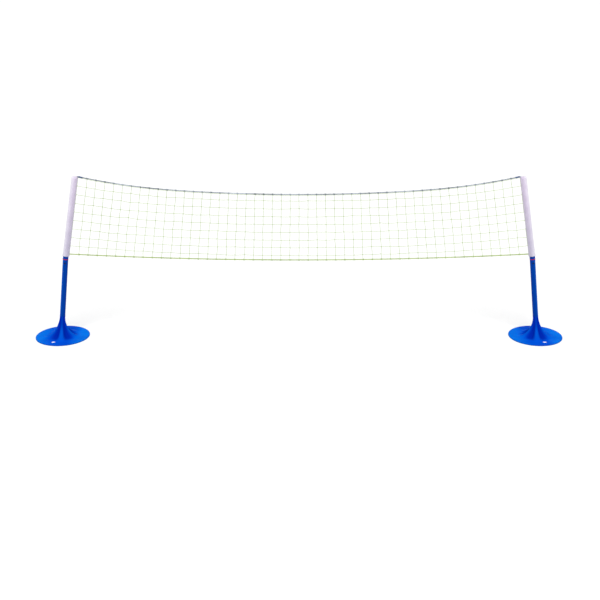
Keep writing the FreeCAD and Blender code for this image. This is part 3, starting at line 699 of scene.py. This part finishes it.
def woven_cloth():
    material, nodes = new_finish("sleeve_cloth")
    uv = nodes.add("ShaderNodeTexCoord").outputs["UV"]
    coords = object_coords(nodes)
    threads = [nodes.add("ShaderNodeTexWave", {"wave_type": "BANDS", "bands_direction": way},
                         Vector=uv, Scale=THREADS).outputs["Fac"] for way in ("X", "Y")]
    weave = maths(nodes, "MULTIPLY", *threads)
    slow = noise(nodes, coords, 22.0, 4.0)
    # Painted light and shade: the cloth's side away from the net is painted lighter, its net side darker.
    outer_side = ranged(nodes, netwards_of_pole(nodes, coords), CLOTH_OUTER)
    apart = nodes.add("ShaderNodeSeparateXYZ", Vector=coords)
    # The cloth is darker towards the bottom and paler towards the top.
    height = ranged(nodes, apart.outputs["Z"], LOWER_DARKER_SPAN)
    lower_net_side = blend_colours(nodes, slow, (190, 183, 206), (206, 199, 220))
    upper_net_side = blend_colours(nodes, slow, (208, 194, 220), (222, 210, 233))
    lower_far_side = blend_colours(nodes, slow, (216, 211, 228), (230, 226, 239))
    upper_far_side = blend_colours(nodes, slow, (232, 224, 242), (243, 238, 249))
    net_side = mixed(nodes, height, lower_net_side, upper_net_side)
    far_side = mixed(nodes, height, lower_far_side, upper_far_side)
    dress(nodes, mixed(nodes, outer_side, net_side, far_side), weave, DULL, CLOTH_RELIEF,
          Sheen_Weight=0.25, Sheen_Roughness=0.5)
    return material


def twine(name, dark, light, patch_scale):
    material, nodes = new_finish(name)
    coords = object_coords(nodes)
    patches = noise(nodes, coords, patch_scale, 3.0)
    fibres = noise(nodes, coords, 2600.0, 2.0, (1, 1, 0.5))
    dress(nodes, blend_colours(nodes, patches, dark, light), fibres, DULL, TWINE_RELIEF, Sheen_Weight=0.15)
    return material


sleeve_cloth = woven_cloth()
net_twine = twine("net_twine", (166, 192, 114), (196, 218, 156), 5.0)
net_knot = twine("net_knot", (138, 164, 92), (172, 194, 128), 9.0)
top_twist = twine("top_cord_twist", (36, 58, 80), (206, 216, 228), 5.5)
bottom_twist = twine("bottom_cord_twist", (152, 176, 84), (208, 222, 160), 7.0)
whipping_blue = twine("whipping_blue", (92, 112, 160), (116, 134, 178), 60.0)
white_thread = twine("white_thread", (206, 200, 218), (226, 222, 236), 30.0)
print("twine finishes", [each.name for each in (net_twine, net_knot, top_twist, bottom_twist)])

# %% [markdown]
# ## Geometry Nodes
#
# A rope's strands, a net's knots and a row of stitches are one small shape repeated along a line, so
# a node tree makes them: its inputs are the sizes a rope maker or a seamstress would name, and the
# line is an ordinary mesh of points. The finished shape is then kept as a plain mesh.

# %% Helpers for node trees
def new_tree(name, **inputs):
    """An empty tree with named inputs, each of a stated kind, and one for its finish."""
    tree = bpy.data.node_groups.new(name, "GeometryNodeTree")
    for label, kind in {"Geometry": "Geometry", **inputs, "Finish": "Material"}.items():
        tree.interface.new_socket(label.replace("_", " "), in_out="INPUT", socket_type=f"NodeSocket{kind}")
    tree.interface.new_socket("Geometry", in_out="OUTPUT", socket_type="NodeSocketGeometry")
    nodes = Nodes(tree)
    entry = nodes.add("NodeGroupInput")
    leave = nodes.add("NodeGroupOutput")
    return nodes, entry.outputs, leave.inputs[0]


def run_tree(nodes, source, name, **values):
    """Runs a tree on a source object and returns the result as a plain mesh object; the source goes."""
    modifier = source.modifiers.new(name, "NODES")
    modifier.node_group = nodes.tree
    for item in nodes.tree.interface.items_tree:
        key = item.name.replace(" ", "_")
        if item.in_out == "INPUT" and key in values:
            modifier[item.identifier] = values[key]
    return link(bpy.data.objects.new(name, kept_mesh(source, name)))


def polyline(name, *lines):
    """A mesh without faces: each line's points in a chain."""
    verts, edges = [], []
    for line in lines:
        start = len(verts)
        verts += line
        edges += [(start + i, start + i + 1) for i in range(len(line) - 1)]
    return mesh_object(name, verts, [], edges)


def round_tube(nodes, line, radius, sides):
    section = nodes.add("GeometryNodeCurvePrimitiveCircle", Resolution=sides, Radius=radius)
    return nodes.add("GeometryNodeCurveToMesh", Curve=line, Profile_Curve=section, Fill_Caps=True)


def plain_and_dressed(nodes, shape, finish):
    """The last nodes of every tree: real copies with smooth shading and a finish."""
    real = nodes.add("GeometryNodeRealizeInstances", Geometry=shape)
    smooth = nodes.add("GeometryNodeSetShadeSmooth", Geometry=real)
    return nodes.add("GeometryNodeSetMaterial", Geometry=smooth, Material=finish)


# %% [markdown]
# ## The twisted cords
#
# Both cords are laid from three strands. Each strand is a helix round the cord's line, a third of a
# turn from the next, and they touch one another when a strand's radius is 0.464 of the cord's. The
# lay, the length of one turn, is about seven times the cord's radius.

# %% Node tree for a laid cord
LAY_PER_RADIUS = 7.0
STRAND_SHARE = 0.464
STRAND_SIDES = 7
STEPS_PER_LAY = 10.0


def laid_cord_tree():
    nodes, given, out = new_tree("laid_cord", Cord_Radius="Float", Lay_Length="Float", Strands="Int")
    line = nodes.add("GeometryNodeMeshToCurve", Mesh=given["Geometry"])
    step = maths(nodes, "DIVIDE", given["Lay Length"], STEPS_PER_LAY)
    even = nodes.add("GeometryNodeResampleCurve", {"mode": "LENGTH"}, Curve=line, Length=step)
    copies = nodes.add("GeometryNodeDuplicateElements", {"domain": "SPLINE"}, Geometry=even,
                       Amount=given["Strands"])
    place = nodes.add("GeometryNodeSplineParameter").outputs["Length"]
    turns = maths(nodes, "DIVIDE", place, given["Lay Length"])
    share = maths(nodes, "DIVIDE", copies.outputs["Duplicate Index"], given["Strands"])
    angle = maths(nodes, "MULTIPLY", maths(nodes, "ADD", turns, share), 2 * math.pi)
    tangent = nodes.add("GeometryNodeInputTangent")
    across = nodes.add("ShaderNodeVectorMath", {"operation": "CROSS_PRODUCT"}, Vector=tangent)
    nodes.wire((0, 1, 0), across.inputs[1])
    reach = maths(nodes, "MULTIPLY", given["Cord Radius"], 1 - STRAND_SHARE)
    aside, ahead = (maths(nodes, "MULTIPLY", reach, maths(nodes, wave, angle)) for wave in ("SINE", "COSINE"))
    sideways = nodes.add("ShaderNodeVectorMath", {"operation": "SCALE"}, Vector=across, Scale=aside)
    forward = nodes.add("ShaderNodeCombineXYZ", Y=ahead)
    offset = nodes.add("ShaderNodeVectorMath", {"operation": "ADD"}, Vector=sideways)
    nodes.wire(forward, offset.inputs[1])
    helix = nodes.add("GeometryNodeSetPosition", Geometry=copies.outputs["Geometry"], Offset=offset)
    strand_radius = maths(nodes, "MULTIPLY", given["Cord Radius"], STRAND_SHARE)
    strands = round_tube(nodes, helix, strand_radius, STRAND_SIDES)
    nodes.wire(plain_and_dressed(nodes, strands, given["Finish"]), out)
    return nodes


# %% [markdown]
# The bottom cord runs under the sleeves' cloth and ends there. The top cord's last centimetre bends
# down through the top of each sleeve, where it is sewn in. Both are drawn as points along their sag.

# %% The two cords
STRANDS = 3
CORD_STEP = 0.002
DIP_START_OUT = 0.0165
DIP_END_OUT = 0.0060
DIP_RADIUS = 0.0115


def dipping_height(x):
    """The top cord's height, with its end bent down."""
    past = max(abs(x) - dip_start, 0)
    return top_cord_height(x) - past ** 2 / (2 * DIP_RADIUS)


def cord_line(height_of, end):
    count = round(2 * end / CORD_STEP)
    return [hung_at(end * (2 * i / count - 1), height_of) for i in range(count + 1)]


def lay_cord(name, height_of, end, radius, finish):
    return run_tree(laid_cord, polyline(f"{name}_line", cord_line(height_of, end)), name, Cord_Radius=radius,
                    Lay_Length=radius * LAY_PER_RADIUS, Strands=STRANDS, Finish=finish)


laid_cord = laid_cord_tree()
dip_start = meet_sleeve(top_cord_height, DIP_START_OUT)
top_end = meet_sleeve(top_cord_height, DIP_END_OUT)
bottom_end = meet_sleeve(bottom_cord_height, TUBE_RADIUS)
top_cord = lay_cord("top_cord_laid", dipping_height, top_end, TOP_CORD_RADIUS, top_twist)
bottom_cord = lay_cord("bottom_cord_laid", bottom_cord_height, bottom_end, BOTTOM_CORD_RADIUS, bottom_twist)

# %% [markdown]
# ## The net
#
# A net maker ties one knot wherever two twines cross. Here the knots are worked out first, as columns
# that run parallel to the poles at the ends and upright at mid span. The rows are even at the ends.
# At mid span the top and bottom rows are squeezed, because the net is taller than the room between
# the two cords. A little unevenness, always from the same seed, keeps it from looking like wire mesh.

# %% Where the knots are
NET_COLUMNS = 50
NET_ROWS = 9
TWINE_RADIUS = 0.0009
FIRST_ROW_SQUEEZE = 0.72
LAST_ROW_SQUEEZE = 0.52
HEAD_DROP = TOP_CORD_RADIUS + 0.0014
FOOT_LIFT = BOTTOM_CORD_RADIUS + 0.0012
KNOT_DRIFT = 0.0009
EDGE_DRIFT = KNOT_DRIFT / 4
SLACK = 0.0007
SLACK_STEPS = 4
SEED = 11

uneven = random.Random(SEED)


def row_shares(x):
    sag = 1 - min(abs(x) / HALF_SPAN, 1) ** 2
    heights = [1.0] * NET_ROWS
    heights[0] = 1 - (1 - FIRST_ROW_SQUEEZE) * sag
    heights[-1] = 1 - (1 - LAST_ROW_SQUEEZE) * sag
    total = sum(heights)
    shares = [0.0]
    for height in heights:
        shares.append(shares[-1] + height / total)
    return shares


def head_height(x):
    return top_cord_height(x) - HEAD_DROP


def foot_height(x):
    return bottom_cord_height(x) + FOOT_LIFT


def net_knots():
    """The knots of every column, from the left to the right, each from the top down."""
    high_end = meet_sleeve(head_height, SLEEVE_OUTER)
    low_end = meet_sleeve(foot_height, SLEEVE_OUTER)
    columns = []
    for column in range(NET_COLUMNS + 1):
        share = 2 * column / NET_COLUMNS - 1
        high = hung_at(share * high_end, head_height)
        low = hung_at(share * low_end, foot_height)
        knots = []
        for row, fraction in enumerate(row_shares(share * low_end)):
            knot = high.lerp(low, fraction)
            inner = 0 < column < NET_COLUMNS and 0 < row < NET_ROWS
            drift = KNOT_DRIFT if inner else EDGE_DRIFT
            across = 0.0 if column in (0, NET_COLUMNS) else uneven.gauss(0, drift)
            knot += Vector((across, uneven.gauss(0, drift), uneven.gauss(0, drift) if inner else 0))
            knots.append(knot)
        columns.append(knots)
    return columns


def slack(first, last):
    """The points of one mesh side between two knots, hanging or bowing a little."""
    bow = Vector((0, uneven.uniform(-SLACK, SLACK), 0))
    if abs(last.x - first.x) > abs(last.z - first.z):
        bow.z = -SLACK
    else:
        bow.x = uneven.uniform(-SLACK, SLACK)
    shares = [i / SLACK_STEPS for i in range(1, SLACK_STEPS)]
    return [first.lerp(last, share) + bow * (4 * share * (1 - share)) for share in shares]


def slack_line(chain):
    line = [chain[0]]
    for first, last in zip(chain, chain[1:]):
        line += slack(first, last) + [last]
    return line


def net_lines(knots):
    """One mesh of all the twines as chains of points. The knots are marked once, along the rows."""
    rows = [slack_line([column[row] for column in knots]) for row in range(NET_ROWS + 1)]
    upright = [slack_line(column) for column in knots]
    lines = polyline("net_lines", *rows, *upright)
    marks = [i % SLACK_STEPS == 0 for row in rows for i in range(len(row))]
    marks += [False] * (len(lines.data.vertices) - len(marks))
    mark = lines.data.attributes.new("knot", "BOOLEAN", "POINT")
    mark.data.foreach_set("value", marks)
    return lines


knots = net_knots()
middle_row = [column[NET_ROWS // 2 + 1] for column in knots]
gap_widths = [(after - before).length for before, after in zip(middle_row, middle_row[1:])]
mean_gap = sum(gap_widths) / NET_COLUMNS
print("net gaps", NET_COLUMNS * NET_ROWS, "mean gap width, mm", round(1000 * mean_gap, 1))

# %% [markdown]
# The tree makes a thin tube along every twine and puts a lump at every marked crossing. No two lumps
# have the same size or turn, as no two knots are pulled equally tight.

# %% Node tree for a knotted net
KNOT_RADIUS = TWINE_RADIUS * 1.9
KNOT_SIZES = ((0.9, 0.7, 0.8), (1.35, 1.0, 1.2))
KNOT_TURNS = ((0, -0.8, 0), (0.4, 0.8, 0.4))
TWINE_SIDES = 5


def knotted_net_tree():
    nodes, given, out = new_tree("knotted_net", Twine_Radius="Float", Knot_Radius="Float", Seed="Int",
                                 Knot_Finish="Material")
    lines = nodes.add("GeometryNodeMeshToCurve", Mesh=given["Geometry"])
    twines = round_tube(nodes, lines, given["Twine Radius"], TWINE_SIDES)
    marked = nodes.add("GeometryNodeInputNamedAttribute", {"data_type": "BOOLEAN"}, Name="knot")
    spots = nodes.add("GeometryNodeMeshToPoints", Mesh=given["Geometry"], Selection=marked)
    lump = nodes.add("GeometryNodeMeshUVSphere", Segments=7, Rings=5, Radius=given["Knot Radius"])
    size, turn = (nodes.add("FunctionNodeRandomValue", {"data_type": "FLOAT_VECTOR"}, Min=low, Max=high,
                            Seed=given["Seed"]) for low, high in (KNOT_SIZES, KNOT_TURNS))
    placed = nodes.add("GeometryNodeInstanceOnPoints", Points=spots, Instance=lump,
                       Rotation=turn, Scale=size)
    both = nodes.add("GeometryNodeJoinGeometry")
    for part, finish in ((twines, "Finish"), (placed, "Knot Finish")):
        nodes.wire(plain_and_dressed(nodes, part, given[finish]), both.inputs[0])
    nodes.wire(both, out)
    return nodes


net = run_tree(knotted_net_tree(), net_lines(knots), "net_knotted", Twine_Radius=TWINE_RADIUS,
               Knot_Radius=KNOT_RADIUS, Seed=SEED, Finish=net_twine, Knot_Finish=net_knot)

# %% [markdown]
# ## Lashings
#
# At every column a loop ties the net to its cords: grey line on the top cord, as the photo shows no
# green there, and the net's own twine on the bottom cord. One loop is a few turns of a tight coil, and
# the tree puts a copy at each column, turned to face along the cord.

# %% One coil of twine, and its copies along a cord
LOOP_TURNS = 3
LOOP_STEPS = 12
LOOP_LIFT = TWINE_RADIUS * 0.6
COIL_PITCH = TWINE_RADIUS * 2.4


def coil_points(radius):
    """A coil along X whose middle lies at the origin."""
    turns = [i / LOOP_STEPS for i in range(LOOP_TURNS * LOOP_STEPS + 1)]
    return [Vector((COIL_PITCH * (turn - LOOP_TURNS / 2), radius * math.cos(2 * math.pi * turn),
                    radius * math.sin(2 * math.pi * turn))) for turn in turns]


def lashing_tree():
    nodes, given, out = new_tree("lashings", Coil="Object", Twine_Radius="Float")
    coil = nodes.add("GeometryNodeObjectInfo", Object=given["Coil"])
    line = nodes.add("GeometryNodeMeshToCurve", Mesh=coil.outputs["Geometry"])
    tube = round_tube(nodes, line, given["Twine Radius"], TWINE_SIDES)
    cord = nodes.add("GeometryNodeMeshToCurve", Mesh=given["Geometry"])
    tangent = nodes.add("GeometryNodeInputTangent")
    facing = nodes.add("FunctionNodeAlignRotationToVector", {"axis": "X", "pivot_axis": "Y"},
                       Vector=tangent)
    copies = nodes.add("GeometryNodeInstanceOnPoints", Points=cord, Instance=tube, Rotation=facing)
    nodes.wire(plain_and_dressed(nodes, copies, given["Finish"]), out)
    return nodes


lashings = lashing_tree()


def lash(name, xs, height_of, cord_radius, finish):
    coil = polyline(f"{name}_coil", coil_points(cord_radius + LOOP_LIFT))
    spots = polyline(f"{name}_spots", [hung_at(x, height_of) for x in xs])
    made = run_tree(lashings, spots, name, Coil=coil, Twine_Radius=TWINE_RADIUS, Finish=finish)
    bpy.data.objects.remove(coil)
    return made


head_xs = [column[0].x for column in knots[1:-1]]
foot_xs = [column[-1].x for column in knots[1:-1]]
head_lashings = lash("head_lashings", head_xs, top_cord_height, TOP_CORD_RADIUS, top_twist)
foot_lashings = lash("foot_lashings", foot_xs, bottom_cord_height, BOTTOM_CORD_RADIUS, net_twine)

# %% [markdown]
# A blue whipping, three coils end to end, binds the top cord's strands where it goes into the sleeve's
# top. Without it the cord would fray at the seam.

# %% Whippings at the sleeves
WHIPPING_COILS = 3

coil_length = LOOP_TURNS * COIL_PITCH
first_coil = meet_sleeve(top_cord_height, SLEEVE_OUTER) - 0.5 * coil_length
bound = [first_coil - coil_length * i for i in range(WHIPPING_COILS)]
whippings = [lash(f"whipping_{side_name}", sorted(side * x for x in bound), top_cord_height,
                  TOP_CORD_RADIUS, whipping_blue) for side_name, side in SIDES]

# %% [markdown]
# ## The cloth sleeves
#
# A sleeve is one piece of cloth folded round and felled into a seam on the net's side, with a hem at
# its open lower end. Its top is gathered and sewn shut over the pole. The shape follows a rule, so it
# is built ring by ring: a slightly loose tube, drawn in below the top, with slanting folds that the
# pull of the two cords sets up, and a squarer corner where the top cord goes into the crown. Solidify
# then gives the cloth its thickness inwards.

# %% Sleeve shape
SLEEVE_LENGTH = UPPER_LENGTH + CAP_HEIGHT - SLEEVE_LIFT + 0.0062
CROWN_HEIGHT = 0.0066
CLOTH_THICK = 0.0007
CLOTH_RADIUS = 0.0143
HEM_HEIGHT = 0.016
SEAM_HALF = 0.0032
SLEEVE_AROUND = 72
SLEEVE_UP = 150
CROWN_RINGS = 10
CORNER_HALF = 1.1
CORNER_SQUARE = 6.0
CORNER_LIFT = 0.003
SLEEVE_FOOT = SLEEVE_LIFT + COLLAR_HEIGHT / 2
WAVES = ((2, 0.00025), (3, 0.00022), (4, 0.00016), (7, 0.00009))
WAVE_SLANT = 28
WAVE_START = 6.3
CROWN_PULL_REACH = 0.07
HEM_PULL = 0.8
HEM_PULL_AT = 0.012
HEM_PULL_REACH = 0.06
PULL_FOLD = 0.0005
PULL_FOLDS = 5
PULL_SLANT = 160
SEAM_BULGE = 0.0011
HEM_BULGE = 0.0007
HEM_EDGE = 0.0003
HEM_EDGE_REACH = 0.002
CLEAR_OF_TUBE = 0.0002
CLOTH_MERGE = 0.00002


def swell(distance, width):
    """A smooth bump: 1 at no distance and 0 beyond the width."""
    share = min(abs(distance) / width, 1)
    return (1 + math.cos(math.pi * share)) / 2


def cloth_radius(turn, along, phases):
    """The cloth's radius at a turn from the net's side, a distance up the sleeve."""
    radius = CLOTH_RADIUS
    for count, lean, size, phase in phases:
        radius += size * math.sin(count * turn + lean * along + phase)
    pull = swell(along - SLEEVE_LENGTH, CROWN_PULL_REACH)
    pull += HEM_PULL * swell(along - HEM_PULL_AT, HEM_PULL_REACH)
    radius += PULL_FOLD * pull * math.sin(PULL_FOLDS * turn + PULL_SLANT * along)
    radius += SEAM_BULGE * swell(turn * CLOTH_RADIUS, SEAM_HALF)
    if along < HEM_HEIGHT:
        radius += HEM_BULGE
    radius += HEM_EDGE * swell(along - HEM_HEIGHT, HEM_EDGE_REACH)
    return max(radius, TUBE_RADIUS + CLOTH_THICK + CLEAR_OF_TUBE)


def make_sleeve(side_name, side):
    draw = random.Random(SEED + side)
    phases = [(count, draw.uniform(-WAVE_SLANT, WAVE_SLANT), size, draw.uniform(0, WAVE_START))
              for count, size in WAVES]
    verts, uvs = [], []
    below = SLEEVE_LENGTH - CROWN_HEIGHT
    ring_heights = [below * i / SLEEVE_UP for i in range(SLEEVE_UP)]
    ring_heights += [below + CROWN_HEIGHT * math.sin(math.pi / 2 * i / CROWN_RINGS)
                     for i in range(CROWN_RINGS + 1)]
    for along in ring_heights:
        for i in range(SLEEVE_AROUND):
            turn = 2 * math.pi * i / SLEEVE_AROUND
            turn = turn - 2 * math.pi if turn > math.pi else turn
            over = max(along - below, 0) / CROWN_HEIGHT
            by_cord = swell(turn, CORNER_HALF)
            radius = cloth_radius(turn, along, phases)
            radius *= math.sqrt(max(1 - over ** (2 + CORNER_SQUARE * by_cord), 0.0))
            lift = along + SLEEVE_FOOT
            lift += 4 * CORNER_LIFT * by_cord * over * (1 - over)
            verts.append(on_pole(side, lift, radius, turn))
            uvs.append((turn * CLOTH_RADIUS, along))
    sleeve = mesh_object(f"sleeve_{side_name}", verts, joined_rings(len(ring_heights), SLEEVE_AROUND))
    layer = sleeve.data.uv_layers.new(name="cloth")
    for loop in sleeve.data.loops:
        layer.data[loop.index].uv = uvs[loop.vertex_index]
    weld(sleeve.data, CLOTH_MERGE)
    sleeve.data.shade_smooth()
    sleeve.data.materials.append(sleeve_cloth)
    thick = sleeve.modifiers.new("cloth_thickness", "SOLIDIFY")
    thick.thickness = CLOTH_THICK
    thick.offset = -1
    return sleeve, phases


# %% [markdown]
# ## Stitches
#
# Two rows of stitches hold the felled seam and one row holds the hem. A stitch is a short, rounded
# bead of thread that lies along the row, so the tree places one at every step and turns it along.

# %% Node tree for a row of stitches
STITCH_STEP = 0.0042
STITCH_LENGTH = 0.0028
THREAD_RADIUS = 0.00032
THREAD_LIFT = THREAD_RADIUS * 0.4
FELL_HALF = SEAM_HALF * 0.75
FELL_FOOT = 0.004
FELL_TOP = SLEEVE_LENGTH - 0.012
FELL_POINTS = 120
HEM_ROW = HEM_HEIGHT - 0.0025
HEM_GAP = 0.35
HEM_POINTS = 60


def stitch_tree():
    nodes, given, out = new_tree("stitches", Step="Float", Stitch_Length="Float", Thread_Radius="Float")
    row = nodes.add("GeometryNodeMeshToCurve", Mesh=given["Geometry"])
    even = nodes.add("GeometryNodeResampleCurve", {"mode": "LENGTH"}, Curve=row, Length=given["Step"])
    tangent = nodes.add("GeometryNodeInputTangent")
    facing = nodes.add("FunctionNodeAlignRotationToVector", {"axis": "Z"}, Vector=tangent)
    bead = nodes.add("GeometryNodeMeshUVSphere", Segments=6, Rings=4, Radius=1.0)
    size = nodes.add("ShaderNodeCombineXYZ", X=given["Thread Radius"], Y=given["Thread Radius"],
                     Z=maths(nodes, "MULTIPLY", given["Stitch Length"], 0.5))
    copies = nodes.add("GeometryNodeInstanceOnPoints", Points=even, Instance=bead,
                       Rotation=facing, Scale=size)
    nodes.wire(plain_and_dressed(nodes, copies, given["Finish"]), out)
    return nodes


stitches = stitch_tree()


def stitch_rows(side_name, side, phases):
    def on_cloth(turn, along):
        return on_pole(side, along + SLEEVE_FOOT, cloth_radius(turn, along, phases) + THREAD_LIFT, turn)

    up = np.linspace(FELL_FOOT, FELL_TOP, FELL_POINTS)
    rows = [[on_cloth(across / CLOTH_RADIUS, along) for along in up] for across in (-FELL_HALF, FELL_HALF)]
    rows.append([on_cloth(turn, HEM_ROW) for turn in np.linspace(HEM_GAP, 2 * math.pi - HEM_GAP, HEM_POINTS)])
    return run_tree(stitches, polyline(f"stitch_lines_{side_name}", *rows),
                    f"sleeve_stitches_{side_name}", Step=STITCH_STEP, Stitch_Length=STITCH_LENGTH,
                    Thread_Radius=THREAD_RADIUS, Finish=white_thread)


# %% [markdown]
# ## Putting the soft pieces on their bodies
#
# The net, the cords, the sleeves and the upper tubes stay together when a pole is pulled apart at its
# red joint, so they all ride on one body. Each soft piece stands in for its plain solid.

for side_name, side in SIDES:
    sleeve, phases = make_sleeve(side_name, side)
    sewing = stitch_rows(side_name, side, phases)
    for piece in (sleeve, sewing):
        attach(piece, "net_frame")
    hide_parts(f"net_sleeve_{side_name}")

for slot, pieces in (("net_twine", (net, foot_lashings)), ("bottom_cord_twist", (bottom_cord,)),
                     ("top_cord_twist", (top_cord, head_lashings, *whippings))):
    for piece in pieces:
        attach(piece, "net_frame")
for piece, node in ((net, "net_mesh"), (top_cord, "top_cord"), (bottom_cord, "bottom_cord")):
    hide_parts(node)
for cord, height_of, end, radius in ((top_cord, dipping_height, top_end, TOP_CORD_RADIUS),
                                     (bottom_cord, bottom_cord_height, bottom_end, BOTTOM_CORD_RADIUS)):
    route = cord_line(height_of, end)
for side_name, base in bases.items():
    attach(base, f"foot_{side_name}")
    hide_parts(f"base_{side_name}")
